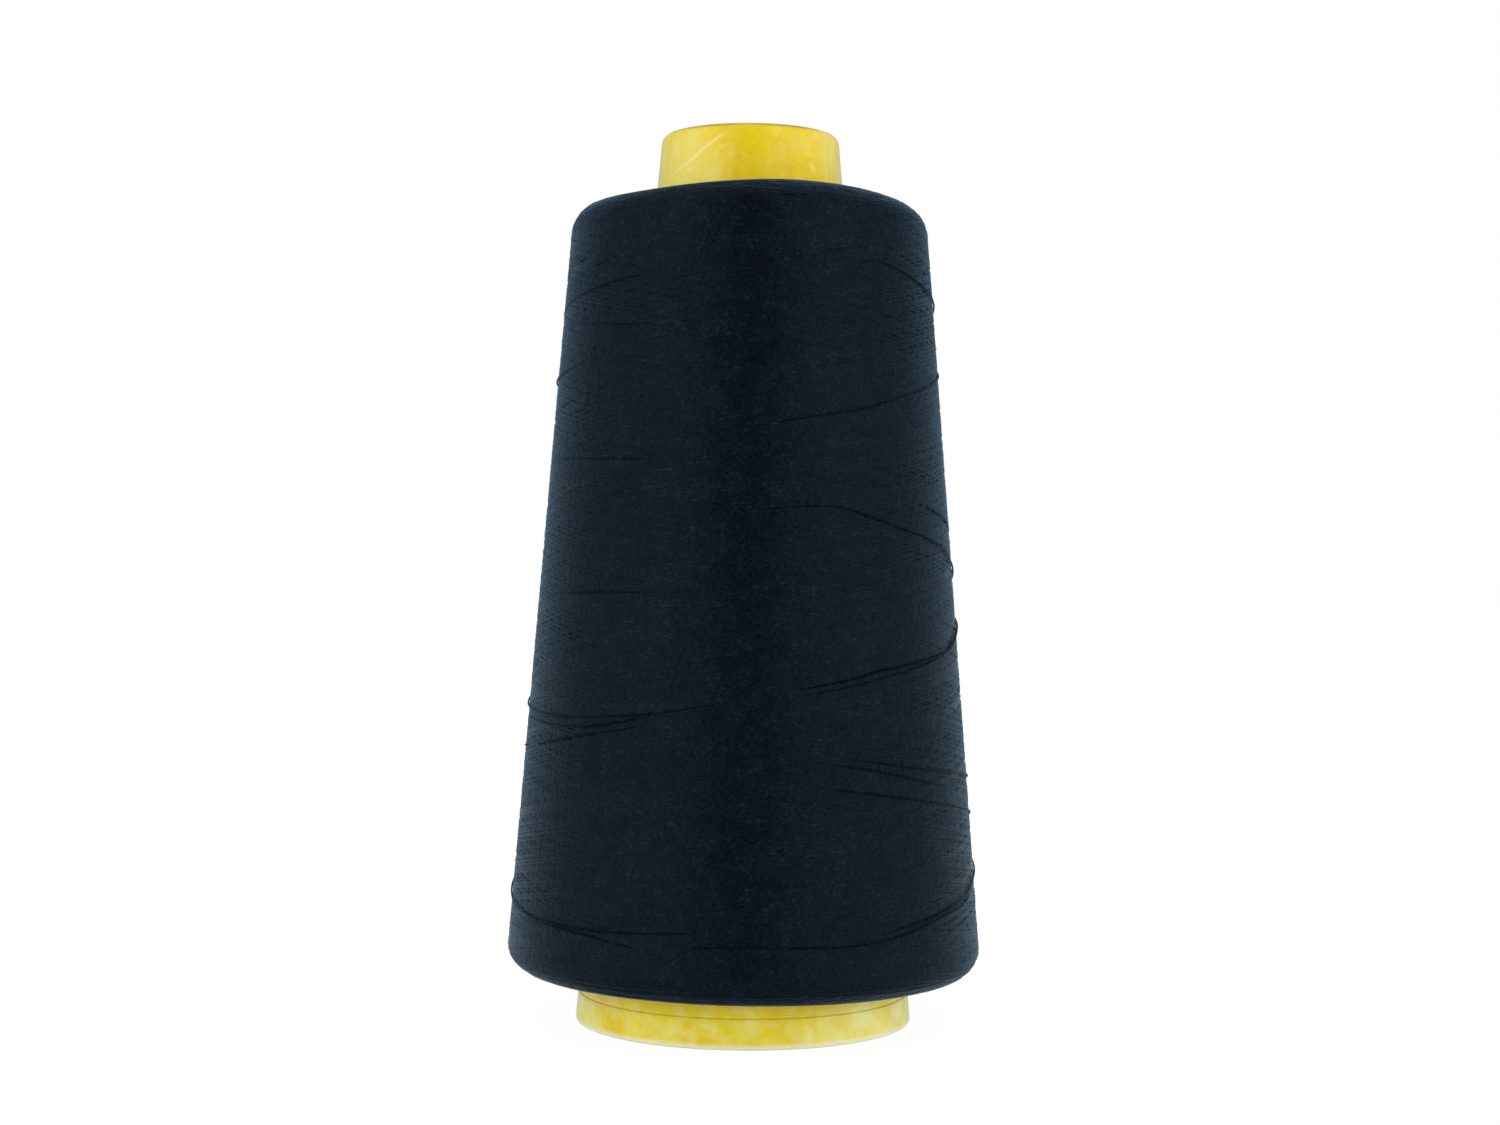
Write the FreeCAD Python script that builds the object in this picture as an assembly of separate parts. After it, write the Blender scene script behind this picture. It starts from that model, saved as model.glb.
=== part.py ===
import FreeCAD, Part
import math
import os

from FreeCAD import Vector

# A cone of sewing thread: one moulded taper tube, and thread cross wound on it.
# Millimetres, +Z up, origin on the axis in the plane that the base ring stands on.

# Core, a single thin walled moulding
core_height = 170.0
core_base_d = 64.4
core_nose_d = 33.9
core_wall = 1.5
base_round = 0.6
nose_round = 1.7

# Groove round the foot of the core, below the thread
groove_height = 5.6
groove_width = 0.6
groove_depth = 0.4

# Plain bore in the nose that centres the cone on a pin
nose_bore_d = 29.0
nose_bore_length = 5.0
nose_bore_round = 0.6
nose_bore_lead = 1.8

# Ribs inside the core that keep empty cores from jamming when they are nested
rib_count = 6
rib_thick = 1.2
rib_depth = 1.2
rib_bottom = 118.0
rib_length = 30.0

# Package, the body of wound thread, measured over its outer layer
package_bottom = 9.4
package_height = 148.0
package_foot_d = 91.5
package_head_d = 67.7
package_foot_round = 5.0
package_head_round = 6.3
package_clearance = 0.1

# Outer layer, one thread that runs up and down the package and crosses itself
thread_d = 0.35
thread_sides = 3
crossing_gap = 0.5
lay_clearance = 0.12
round_trips = 2
turns_up = 3.25
turns_down = 3.0
turning_below_top = 7.4
turning_above_bottom = 6.6
start_deg = 20.0

# A run is straight on the taper but for an eighth of a turn on each side of a turning point
turning_share = 0.125
turn_step = 0.25

# How far the flat bands of a rounding may lie inside its true arc
round_sag = 0.2

package_top = package_bottom + package_height
core_taper = (core_base_d - core_nose_d) / 2 / core_height
package_taper = (package_foot_d - package_head_d) / 2 / package_height
layer_depth = lay_clearance + thread_d + crossing_gap / 2


def core_radius(height):
    return core_base_d / 2 - core_taper * height


def package_radius(height):
    return package_foot_d / 2 - package_taper * (height - package_bottom)


# Solid turned about the axis from the corners of its section, each (radius, height, rounding).
# A rounding is a row of flat bands on an arc, as many as it takes to keep within the arc's sag.
def turned(corners):
    outline = []
    for i, (radius, height, rounding) in enumerate(corners):
        corner = Vector(radius, 0, height)
        if not rounding:
            outline.append(corner)
            continue
        last = corners[i - 1]
        after = corners[(i + 1) % len(corners)]
        to_last = (Vector(last[0], 0, last[1]) - corner).normalize()
        to_after = (Vector(after[0], 0, after[1]) - corner).normalize()
        half_angle = to_last.getAngle(to_after) / 2
        centre = corner + (to_last + to_after).normalize() * (rounding / math.sin(half_angle))
        spoke = corner + to_last * (rounding / math.tan(half_angle)) - centre
        sweep = math.pi - 2 * half_angle
        bands = math.ceil(sweep / (2 * math.acos(1 - round_sag / rounding)))
        turn = -sweep if to_last.cross(to_after).y > 0 else sweep
        for band in range(bands + 1):
            rotation = FreeCAD.Rotation(Vector(0, 1, 0), math.degrees(turn * band / bands))
            outline.append(centre + rotation.multVec(spoke))
    section = Part.Face(Part.makePolygon(outline + [outline[0]]))
    return section.revolve(Vector(0, 0, 0), Vector(0, 0, 1), 360)


def core_shell():
    groove_top = groove_height + groove_width
    bore_radius = nose_bore_d / 2
    bore_bottom = core_height - nose_bore_round - nose_bore_length
    lead_bottom = bore_bottom - nose_bore_lead
    return turned([
        (core_radius(0), 0, base_round),
        (core_radius(groove_height), groove_height, 0),
        (core_radius(groove_height) - groove_depth, groove_height, 0),
        (core_radius(groove_top) - groove_depth, groove_top, 0),
        (core_radius(groove_top), groove_top, 0),
        (core_radius(core_height), core_height, nose_round),
        (bore_radius, core_height, nose_bore_round),
        (bore_radius, bore_bottom, 0),
        (core_radius(lead_bottom) - core_wall, lead_bottom, 0),
        (core_radius(0) - core_wall, 0, 0),
    ])


def nesting_rib():
    rib_top = rib_bottom + rib_length
    root = core_wall / 2
    outline = Part.makePolygon([
        Vector(core_radius(rib_bottom) - root, 0, rib_bottom),
        Vector(core_radius(rib_top) - root, 0, rib_top),
        Vector(core_radius(rib_top) - core_wall, 0, rib_top),
        Vector(core_radius(rib_top) - core_wall - rib_depth, 0, rib_top - rib_depth),
        Vector(core_radius(rib_bottom) - core_wall - rib_depth, 0, rib_bottom + rib_depth),
        Vector(core_radius(rib_bottom) - core_wall, 0, rib_bottom),
        Vector(core_radius(rib_bottom) - root, 0, rib_bottom),
    ])
    outline.translate(Vector(0, -rib_thick / 2, 0))
    return Part.Face(outline).extrude(Vector(0, rib_thick, 0))


def make_core():
    ribs = []
    for i in range(rib_count):
        rib = nesting_rib()
        rib.rotate(Vector(0, 0, 0), Vector(0, 0, 1), 360 / rib_count * i)
        ribs.append(rib)
    return core_shell().fuse(ribs).removeSplitter()


def make_package():
    return turned([
        (core_radius(package_bottom) + package_clearance, package_bottom, 0),
        (package_radius(package_bottom) - layer_depth, package_bottom,
         package_foot_round - layer_depth),
        (package_radius(package_top) - layer_depth, package_top,
         package_head_round - layer_depth),
        (core_radius(package_top) + package_clearance, package_top, 0),
    ])


# Point on the thread's centre line and the direction in which it runs there.
# The runs that go up lie on the package, and those that go down cross over them.
def thread_point(turn, height, rise, over):
    radius = package_radius(height) - layer_depth + lay_clearance + thread_d / 2
    if over:
        radius += thread_d + crossing_gap
    angle = math.radians(start_deg) + 2 * math.pi * turn
    outward = Vector(math.cos(angle), math.sin(angle), 0)
    around = Vector(-math.sin(angle), math.cos(angle), 0)
    run = around * (2 * math.pi * radius) - outward * (package_taper * rise)
    run.z = rise
    return outward * radius + Vector(0, 0, height), run.normalize()


# Places every quarter turn along all the runs, up and down by turns
def thread_points():
    low = package_bottom + turning_above_bottom
    high = package_top - turning_below_top
    points = []
    start = 0
    for i in range(2 * round_trips):
        going_up = i % 2 == 0
        turns = turns_up if going_up else turns_down
        steps = round((turns - 2 * turning_share) / turn_step)
        run_turns = steps * turn_step
        # The thread still climbs half a share at each end while it swings round
        rise = (high - low) / (run_turns + turning_share)
        edge = rise * turning_share / 2
        for step in range(steps + 1):
            climbed = edge + rise * turn_step * step
            turn = start + turning_share + turn_step * step
            if going_up:
                points.append(thread_point(turn, low + climbed, rise, False))
            else:
                points.append(thread_point(turn, high - climbed, -rise, True))
        start += run_turns + 2 * turning_share
    return points


def arc_along(start, tangent_corner, end):
    chord_middle = (start + end) / 2
    leg = start.distanceToPoint(tangent_corner)
    cosine = start.distanceToPoint(end) / 2 / leg
    middle = chord_middle + (tangent_corner - chord_middle) * (cosine / (1 + cosine))
    return Part.Arc(start, middle, end).toShape()


# Two arcs that leave one point and reach the next in the directions given there
def biarc(start, start_run, end, end_run):
    chord = end - start
    runs = start_run + end_run
    a = runs.dot(runs) - 4
    b = chord.dot(runs)
    leg = (b - math.sqrt(b * b - a * chord.dot(chord))) / a
    first_corner = start + start_run * leg
    second_corner = end - end_run * leg
    join = (first_corner + second_corner) / 2
    return [arc_along(start, first_corner, join), arc_along(join, second_corner, end)]


def thread_arcs(points):
    arcs = []
    for (start, start_run), (end, end_run) in zip(points, points[1:]):
        arcs.extend(biarc(start, start_run, end, end_run))
    return arcs


def thread_section(centre, run):
    side = run.cross(Vector(0, 0, 1)).normalize()
    up = side.cross(run)
    corners = []
    for i in range(thread_sides):
        angle = 2 * math.pi * (i + 0.5) / thread_sides
        corners.append(centre + (side * math.cos(angle) + up * math.sin(angle)) * (thread_d / 2))
    return Part.makePolygon(corners + [corners[0]])


# Least clear distance between stretches of the thread that cross or lie side by side
def least_gap(places):
    cell = 2 * (thread_d + crossing_gap)
    same_stretch = 4 * cell
    grid = {}
    for along, place in places:
        key = tuple(math.floor(value / cell) for value in place)
        grid.setdefault(key, []).append((along, place))
    least = cell
    neighbours = [(i, j, k) for i in (-1, 0, 1) for j in (-1, 0, 1) for k in (-1, 0, 1)]
    for key, here in grid.items():
        for shift in neighbours:
            near = grid.get(tuple(map(sum, zip(key, shift))), [])
            for along, place in here:
                for other_along, other in near:
                    if other_along - along > same_stretch:
                        least = min(least, place.distanceToPoint(other))
    return least - thread_d


def make_outer_winding():
    points = thread_points()
    arcs = thread_arcs(points)
    first, first_run = points[0]
    last, last_run = points[-1]
    tail = first - first_run * thread_d
    edges = [Part.LineSegment(tail, first).toShape()]
    edges += arcs
    edges.append(Part.LineSegment(last, last + last_run * thread_d).toShape())
    spine = Part.Wire(edges)

    shell = Part.BRepOffsetAPI.MakePipeShell(spine)
    shell.add(thread_section(tail, first_run), False, False)
    shell.build()
    shell.makeSolid()
    winding = shell.shape()

    section_area = thread_sides / 2 * (thread_d / 2) ** 2 * math.sin(2 * math.pi / thread_sides)
    loops = round_trips * (turns_up + turns_down)
    print(f"outer winding: {loops:.2f} loops, {spine.Length / 1000:.3f} m of thread")
    print(f"volume over section times length: {winding.Volume / section_area / spine.Length:.5f}")
    print(f"least radius: {min(arc.Curve.Radius for arc in arcs):.2f} mm")

    spacing = thread_d
    places = []
    along = 0
    for edge in edges:
        count = max(2, math.ceil(edge.Length / spacing))
        for i, place in enumerate(edge.discretize(Number=count)):
            places.append((along + edge.Length * i / (count - 1), place))
        along += edge.Length
    print(f"least gap of the thread to itself: {least_gap(places):.3f} mm")
    off_body = min(math.hypot(place.x, place.y) - package_radius(place.z) + layer_depth
                   for _, place in places) - thread_d / 2
    print(f"least gap of the thread to the package: {off_body:.3f} mm")
    return winding


os.makedirs("parts", exist_ok=True)
nodes = {
    "cone_core": make_core,
    "thread_package": make_package,
    "outer_winding": make_outer_winding,
}
for name, make in nodes.items():
    shape = make()
    box = shape.optimalBoundingBox()
    print(f"{name}: solids {len(shape.Solids)}, valid {shape.isValid()}, volume {shape.Volume:.1f}, "
          f"size {box.XLength:.2f} x {box.YLength:.2f} x {box.ZLength:.2f}")
    shape.exportStep(f"parts/{name}.step")
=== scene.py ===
import math
import random

import bmesh
import bpy
from mathutils import Matrix, Vector


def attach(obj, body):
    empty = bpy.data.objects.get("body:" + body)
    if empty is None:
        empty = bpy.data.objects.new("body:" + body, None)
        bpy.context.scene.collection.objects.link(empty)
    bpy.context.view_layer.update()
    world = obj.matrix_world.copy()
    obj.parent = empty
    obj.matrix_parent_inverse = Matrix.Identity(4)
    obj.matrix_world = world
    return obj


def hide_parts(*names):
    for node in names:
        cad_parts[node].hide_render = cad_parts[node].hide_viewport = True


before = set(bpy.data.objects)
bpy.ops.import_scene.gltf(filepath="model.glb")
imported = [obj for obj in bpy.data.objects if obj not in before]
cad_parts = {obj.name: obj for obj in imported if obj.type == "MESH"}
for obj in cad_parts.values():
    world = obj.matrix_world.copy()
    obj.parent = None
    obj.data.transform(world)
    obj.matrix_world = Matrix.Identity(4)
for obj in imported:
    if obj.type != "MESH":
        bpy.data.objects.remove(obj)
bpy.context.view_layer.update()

# A cone of black sewing thread on a yellow taper tube.
# Sizes here are millimetres and become metres at mm. Angles on the cone are degrees
# round the axis: 0 faces the camera and 90 is its right hand side.
mm = 0.001
chance = random.Random(31)

# A full turn in radians, as the random waves of the thread take it
fullTurn = 6.28


def linearColour(hexText):
    channels = [int(hexText[i:i + 2], 16) / 255 for i in (1, 3, 5)]
    return [c / 12.92 if c <= 0.04045 else ((c + 0.055) / 1.055) ** 2.4 for c in channels] + [1]


def addNode(tree, kind, settings={}, inputs={}):
    node = tree.nodes.new(kind)
    for name, value in settings.items():
        setattr(node, name, value)
    for name, value in inputs.items():
        if isinstance(value, bpy.types.NodeSocket):
            tree.links.new(value, node.inputs[name])
        else:
            node.inputs[name].default_value = value
    return node


def setRamp(ramp, stops):
    elements = ramp.color_ramp.elements
    stops = list(stops)
    while len(elements) < len(stops):
        elements.new(0.5)
    for element, (place, colour) in zip(elements, stops):
        element.position = place
        element.color = linearColour(colour)


# Inputs of a map range node: a value, where it starts and ends, and what comes out there
def ranged(value, limits):
    return {0: value, **dict(enumerate(limits, 1))}


def newMaterial(name):
    material = bpy.data.materials.new(name)
    material.use_nodes = True
    material.node_tree.nodes.clear()
    return material, material.node_tree


# Noise on Object coordinates by name, each (size, detail, roughness, stretch up the axis)
def addPatterns(tree, place, patterns):
    noise = {}
    for name, (size, detail, roughness, stretch) in patterns.items():
        scaled = addNode(tree, "ShaderNodeMapping", {},
                         {"Vector": place, "Scale": (1, 1, stretch)})
        noise[name] = addNode(tree, "ShaderNodeTexNoise", {}, {
            "Vector": scaled.outputs[0], "Scale": 1 / (size * mm), "Detail": detail,
            "Roughness": roughness}).outputs[0]
    return noise


# 1 for the rays that see the background itself: the camera's, gloss and light through things
def seenDirectly(tree, path):
    seen = path.outputs["Is Camera Ray"]
    for ray in ("Is Glossy Ray", "Is Transmission Ray"):
        seen = addNode(tree, "ShaderNodeMath", {"operation": "MAXIMUM"},
                       {0: seen, 1: path.outputs[ray]}).outputs[0]
    return seen


def addPiece(name, mesh, material):
    piece = bpy.data.objects.new(name, mesh)
    bpy.context.scene.collection.objects.link(piece)
    mesh.materials.clear()
    mesh.materials.append(material)
    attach(piece, "root")
    return piece


# Camera, fitted to the photograph: level, 463 mm off, turned half a degree about its own axis
photoCamera = {"place": (0.616, -463.08, 87.89), "roll": -0.5152, "focalPixels": 2396.8,
               "framePixels": 1500, "sensor": 36, "clipStart": 10}
cameraData = bpy.data.cameras.new("photoCamera")
cameraData.sensor_fit = "HORIZONTAL"
cameraData.sensor_width = photoCamera["sensor"]
cameraData.lens = photoCamera["focalPixels"] * photoCamera["sensor"] / photoCamera["framePixels"]
cameraData.clip_start = photoCamera["clipStart"] * mm
cameraObject = bpy.data.objects.new("photoCamera", cameraData)
cameraObject.location = Vector(photoCamera["place"]) * mm
cameraObject.rotation_euler = (math.radians(90), math.radians(photoCamera["roll"]), 0)
bpy.context.scene.collection.objects.link(cameraObject)
bpy.context.scene.camera = cameraObject
print("camera set")


# The core, a thin walled taper tube
core = {"height": 170, "baseRadius": 32.2, "taper": 0.0897, "wall": 1.5,
        "baseRound": 0.6, "noseRound": 1.7, "innerRound": 0.4,
        "grooveHeight": 5.6, "grooveWidth": 0.6, "grooveDepth": 0.4, "grooveRound": 0.15,
        "boreRadius": 14.5, "boreLength": 5, "boreRound": 0.6, "boreLead": 1.8,
        "ribs": 6, "ribThick": 1.2, "ribDepth": 1.2, "ribBottom": 118, "ribTop": 148,
        "facets": 192, "sharpFrom": 40}


def coreRadius(height):
    return core["baseRadius"] - core["taper"] * height


# Turns a closed section about the axis. Corners are (radius, height, rounding) in order
def turnSection(mesh, corners, facets, roundSegments=8):
    made = [mesh.verts.new((radius * mm, 0, height * mm)) for radius, height, _ in corners]
    for here, there in zip(made, made[1:] + made[:1]):
        mesh.edges.new((here, there))
    for corner, (_, _, rounding) in zip(made, corners):
        if rounding:
            sides = [edge.other_vert(corner).co - corner.co for edge in corner.link_edges]
            reach = rounding * mm / math.tan(sides[0].angle(sides[1]) / 2)
            bmesh.ops.bevel(mesh, geom=[corner], offset=reach, offset_type="OFFSET",
                            affect="VERTICES", segments=roundSegments, profile=0.5, material=-1)
    bmesh.ops.spin(mesh, geom=mesh.verts[:] + mesh.edges[:], cent=(0, 0, 0), axis=(0, 0, 1),
                   dvec=(0, 0, 0), angle=2 * math.pi, steps=facets, use_merge=True)
    bmesh.ops.recalc_face_normals(mesh, faces=mesh.faces[:])


def finishMesh(mesh, name, smooth=True):
    for face in mesh.faces:
        face.smooth = smooth
    data = bpy.data.meshes.new(name)
    mesh.to_mesh(data)
    mesh.free()
    return data


def makeCore():
    grooveTop = core["grooveHeight"] + core["grooveWidth"]
    boreBottom = core["height"] - core["boreRound"] - core["boreLength"]
    leadBottom = boreBottom - core["boreLead"]
    cut = core["grooveDepth"]
    mesh = bmesh.new()
    turnSection(mesh, [
        (coreRadius(0), 0, core["baseRound"]),
        (coreRadius(core["grooveHeight"]), core["grooveHeight"], core["grooveRound"]),
        (coreRadius(core["grooveHeight"]) - cut, core["grooveHeight"], core["grooveRound"]),
        (coreRadius(grooveTop) - cut, grooveTop, core["grooveRound"]),
        (coreRadius(grooveTop), grooveTop, core["grooveRound"]),
        (coreRadius(core["height"]), core["height"], core["noseRound"]),
        (core["boreRadius"], core["height"], core["boreRound"]),
        (core["boreRadius"], boreBottom, core["innerRound"]),
        (coreRadius(leadBottom) - core["wall"], leadBottom, core["innerRound"]),
        (coreRadius(0) - core["wall"], 0, core["innerRound"]),
    ], core["facets"])

    # Ribs inside the core, low at both ends, each sunk into the wall
    low, high, deep, wall = core["ribBottom"], core["ribTop"], core["ribDepth"], core["wall"]
    corners = [(low, wall / 2), (high, wall / 2), (high, wall),
               (high - deep, wall + deep), (low + deep, wall + deep), (low, wall)]
    for i in range(core["ribs"]):
        outline = [mesh.verts.new(((coreRadius(height) - inset) * mm,
                                   -core["ribThick"] / 2 * mm, height * mm))
                   for height, inset in corners]
        side = mesh.faces.new(outline)
        grown = bmesh.ops.extrude_face_region(mesh, geom=[side])["geom"]
        moved = [part for part in grown if isinstance(part, bmesh.types.BMVert)]
        bmesh.ops.translate(mesh, verts=moved, vec=(0, core["ribThick"] * mm, 0))
        bmesh.ops.rotate(mesh, verts=outline + moved, cent=(0, 0, 0),
                         matrix=Matrix.Rotation(2 * math.pi / core["ribs"] * i, 3, "Z"))
        faces = list({face for vert in outline + moved for face in vert.link_faces})
        bmesh.ops.recalc_face_normals(mesh, faces=faces)
    data = finishMesh(mesh, "coreTube")
    data.set_sharp_from_angle(angle=math.radians(core["sharpFrom"]))
    return data


# What the core's plastic looks like.
# Bands are (height, height, share at the first, share at the second, way between)
plasticLook = {
    # The pale colours that the nose and base ring fade to stand partly for random pale clouds and
    # partly for painted light
    "deep": "#d5b700", "mid": "#dec208", "pale": "#e5d040", "bloomAndLight": "#e5d87b",
    # The base ring's colours are painted brighter, as painted light from the floor below
    "ringDeep": "#ecca12", "ringMid": "#eed81c", "ringPale": "#f3e455", "ringBloomAndLight": "#f6ec9a",
    # The near-white foot colour is painted light through the thin foot
    # The olive colour is painted shade round the nose's top rim
    "rub": "#f1e8ae", "rim": "#fbf8dc", "paintedRimShade": "#8a7a26", "sheen": "#fff3b0",
    "patterns": {"cloud": (9, 3, 0.55, 0.5), "grain": (1.3, 4, 0.6, 1), "ring": (7, 3, 0.5, 1),
                 "bloomAndLight": (5, 3, 0.5, 1), "streak": (1.6, 2, 0.5, 0.3), "rub": (3.2, 5, 0.62, 1),
                 # The last pattern breaks up the painted shade round the nose's top rim
                 "paintedRimShade": (2.5, 2, 0.5, 1)},
    # Low on the base ring the paling turns whiter, as painted floor light
    "bands": {"ring": (9, 4.5, 0, 1, "LINEAR"), "ringBloomAndLight": (9, 5, 0, 1, "LINEAR"),
              "inRing": (10, 5, 0.35, 1, "LINEAR"), "footRub": (4, 0.6, 0, 0.09, "LINEAR"),
              "noseRub": (166.5, 169.6, 0, 0.03, "LINEAR"),
              # Painted light through the thin foot
              "footRim": (1.5, 0.2, 0, 0.82, "SMOOTHSTEP"),
              # Painted shade round the nose's top rim
              "noseRimShade": (169.2, 169.6, 0, 0.65, "LINEAR")},
    "mottle": 0.35, "toneStops": (0.36, 0.54, 0.7), "ringStops": (0.36, 0.5, 0.66),
    "clouding": (0.46, 0.66, -0.1, 0.55), "brushing": (0.45, 0.65, -0.03, 0.1),
    "rubbing": (0.58, 0.78, 0, 0.32), "dulling": (0, 1, 0.3, 0.6),
    # Breaks and radii of the painted shade round the nose's top rim
    "rimShadeBreaks": (0.3, 0.55, 0.35, 1), "rimShadeRadii": (15.5, 16.2),
    # Places where painted light pales the skin most: (place, none from here, full from here, how
    # much)
    "paintedLightSpots": (((-13, -11, 160), 15, 4, 0.5), ((16, -6, 166), 12, 3, 0.4),
               ((22, -23, 2), 18, 5, 0.5), ((-31, -9, 5), 16, 5, 0.45), ((31, -9, 5), 16, 5, 0.5)),
    "scratch": {"place": (-9.6, -17, 164.6), "lean": -35, "wander": 0.5, "wanderScale": 180,
                "wide": 0.5, "core": 0.05, "pale": 0.42, "reach": 7.4, "fade": 4}}


# How far the skin pales, partly in random clouds and partly as painted light: most on the left of
# the nose, low on the base ring and at both its sides
def bloomAndLightShare(tree, place, noise, band):
    look = plasticLook
    nearby = 0
    for centre, none, full, most in look["paintedLightSpots"]:
        distance = addNode(tree, "ShaderNodeVectorMath", {"operation": "DISTANCE"},
                           {0: place, 1: Vector(centre) * mm})
        near = addNode(tree, "ShaderNodeMapRange", {"interpolation_type": "SMOOTHSTEP"},
                       ranged(distance.outputs["Value"], (none * mm, full * mm, 0, most)))
        nearby = addNode(tree, "ShaderNodeMath", {"operation": "MAXIMUM"},
                         {0: near.outputs[0], 1: nearby}).outputs[0]
    clouds = addNode(tree, "ShaderNodeMapRange", {}, ranged(noise["bloomAndLight"], look["clouding"]))
    clouded = addNode(tree, "ShaderNodeMath", {"operation": "MULTIPLY_ADD"},
                      {0: clouds.outputs[0], 1: band["inRing"], 2: nearby})
    brushed = addNode(tree, "ShaderNodeMapRange", {}, ranged(noise["streak"], look["brushing"]))
    bloomAndLight = addNode(tree, "ShaderNodeMath", {"operation": "ADD", "use_clamp": True},
                    {0: clouded.outputs[0], 1: brushed.outputs[0]})
    return bloomAndLight.outputs[0]


# How far one long scratch across the front of the nose pales the skin
def scratchShare(tree, place, apart):
    cut = plasticLook["scratch"]
    along = addNode(tree, "ShaderNodeMapping", {"vector_type": "TEXTURE"},
                    {"Vector": place, "Location": Vector(cut["place"]) * mm,
                     "Rotation": (0, math.radians(cut["lean"]), 0)})
    scratch = addNode(tree, "ShaderNodeSeparateXYZ", {}, {0: along.outputs[0]})
    wander = addNode(tree, "ShaderNodeTexNoise", {"noise_dimensions": "1D"},
                     {"W": scratch.outputs[0], "Scale": cut["wanderScale"], "Detail": 3})
    sway = addNode(tree, "ShaderNodeMapRange", {},
                   ranged(wander.outputs[0], (0, 1, -cut["wander"] * mm, cut["wander"] * mm)))
    off = addNode(tree, "ShaderNodeMath", {"operation": "SUBTRACT"},
                  {0: scratch.outputs[2], 1: sway.outputs[0]})
    aside = addNode(tree, "ShaderNodeMath", {"operation": "ABSOLUTE"}, {0: off.outputs[0]})
    line = addNode(tree, "ShaderNodeMapRange", {},
                   ranged(aside.outputs[0], (cut["wide"] * mm, cut["core"] * mm, 0, cut["pale"])))
    gone = addNode(tree, "ShaderNodeMath", {"operation": "ABSOLUTE"}, {0: scratch.outputs[0]})
    fades = addNode(tree, "ShaderNodeMapRange", {},
                    ranged(gone.outputs[0], (cut["reach"] * mm, cut["fade"] * mm, 0, 1)))
    front = addNode(tree, "ShaderNodeMath", {"operation": "LESS_THAN"},
                    {0: apart.outputs[1], 1: 0})
    faded = addNode(tree, "ShaderNodeMath", {"operation": "MULTIPLY"},
                    {0: fades.outputs[0], 1: front.outputs[0]})
    marked = addNode(tree, "ShaderNodeMath", {"operation": "MULTIPLY"},
                     {0: line.outputs[0], 1: faded.outputs[0]})
    return marked.outputs[0]


# How dark a thin broken line of painted shade is round the outer edge of the nose, where its
# rounded top rim turns away from the light
def rimShadeShare(tree, apart, noise, band):
    look = plasticLook
    spread = addNode(tree, "ShaderNodeCombineXYZ", {}, {0: apart.outputs[0], 1: apart.outputs[1]})
    across = addNode(tree, "ShaderNodeVectorMath", {"operation": "LENGTH"}, {0: spread.outputs[0]})
    inside, outside = look["rimShadeRadii"]
    outer = addNode(tree, "ShaderNodeMapRange", {},
                    ranged(across.outputs["Value"], (inside * mm, outside * mm, 0, 1)))
    broken = addNode(tree, "ShaderNodeMapRange", {}, ranged(noise["paintedRimShade"], look["rimShadeBreaks"]))
    edge = addNode(tree, "ShaderNodeMath", {"operation": "MULTIPLY"},
                   {0: band["noseRimShade"], 1: outer.outputs[0]})
    rimShading = addNode(tree, "ShaderNodeMath", {"operation": "MULTIPLY"},
                    {0: edge.outputs[0], 1: broken.outputs[0]})
    return rimShading.outputs[0]


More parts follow.
